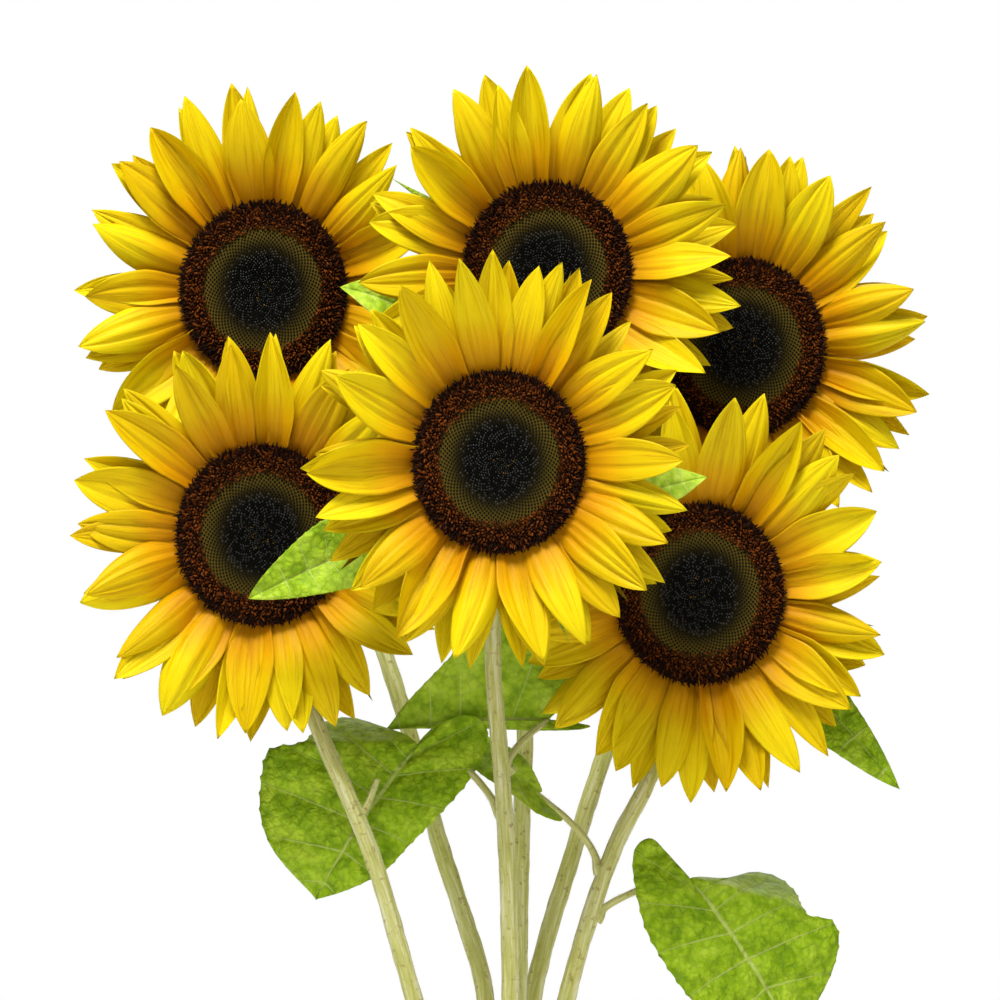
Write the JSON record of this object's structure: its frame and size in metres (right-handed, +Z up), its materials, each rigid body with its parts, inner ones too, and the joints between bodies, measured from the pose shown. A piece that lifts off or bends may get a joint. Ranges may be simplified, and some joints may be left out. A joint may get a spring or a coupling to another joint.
{
  "type": "sunflower plant",
  "caption": "Branching sunflower plant: several upright green stems rise from one flared root crown, each bearing a broad yellow flower head, with heart-shaped leaves between.",
  "frame": {"origin": "middle of the flat cut under the main stem, at ground level", "axes": "+Z up along the plant, flower heads face -Y, +X to the right of someone facing the flowers"},
  "size_m": [0.4356, 0.2675, 0.6229],
  "materials": {
    "bark": "rough, ribbed and hairy",
    "stem": "matt, ribbed and hairy",
    "petal": "satin",
    "disc": "rough, packed florets",
    "bract": "matt and hairy",
    "leaf": "matt upper side with pale veins"
  },
  "bodies": {
    "root": {"main_stem": "bark", "stem_a": "stem", "disc_a": "disc", "rays_a": "petal", "bracts_a": "bract", "stem_b": "stem", "disc_b": "disc", "rays_b": "petal", "bracts_b": "bract", "stem_c": "stem", "disc_c": "disc", "rays_c": "petal", "bracts_c": "bract", "stem_d": "stem", "disc_d": "disc", "rays_d": "petal", "bracts_d": "bract", "stem_e": "stem", "disc_e": "disc", "rays_e": "petal", "bracts_e": "bract", "stem_f": "stem", "disc_f": "disc", "rays_f": "petal", "bracts_f": "bract", "petiole_front_left": "stem", "leaf_front_left": "leaf", "petiole_front_right": "stem", "leaf_front_right": "leaf", "petiole_middle_upper": "stem", "leaf_middle_upper": "leaf", "petiole_middle_lower": "stem", "leaf_middle_lower": "leaf", "petiole_right_lower": "stem", "leaf_right_lower": "leaf", "petiole_centre_left": "stem", "leaf_centre_left": "leaf", "petiole_centre_right": "stem", "leaf_centre_right": "leaf", "petiole_upper_left": "stem", "leaf_upper_left": "leaf", "petiole_back_left": "stem", "leaf_back_left": "leaf", "petiole_back_left_upper": "stem", "leaf_back_left_upper": "leaf", "petiole_back_middle": "stem", "leaf_back_middle": "leaf", "petiole_back_right": "stem", "leaf_back_right": "leaf", "petiole_back_right_upper": "stem", "leaf_back_right_upper": "leaf", "petiole_back_low": "stem", "leaf_back_low": "leaf", "petiole_stub": "stem"}
  },
  "joints": []
}
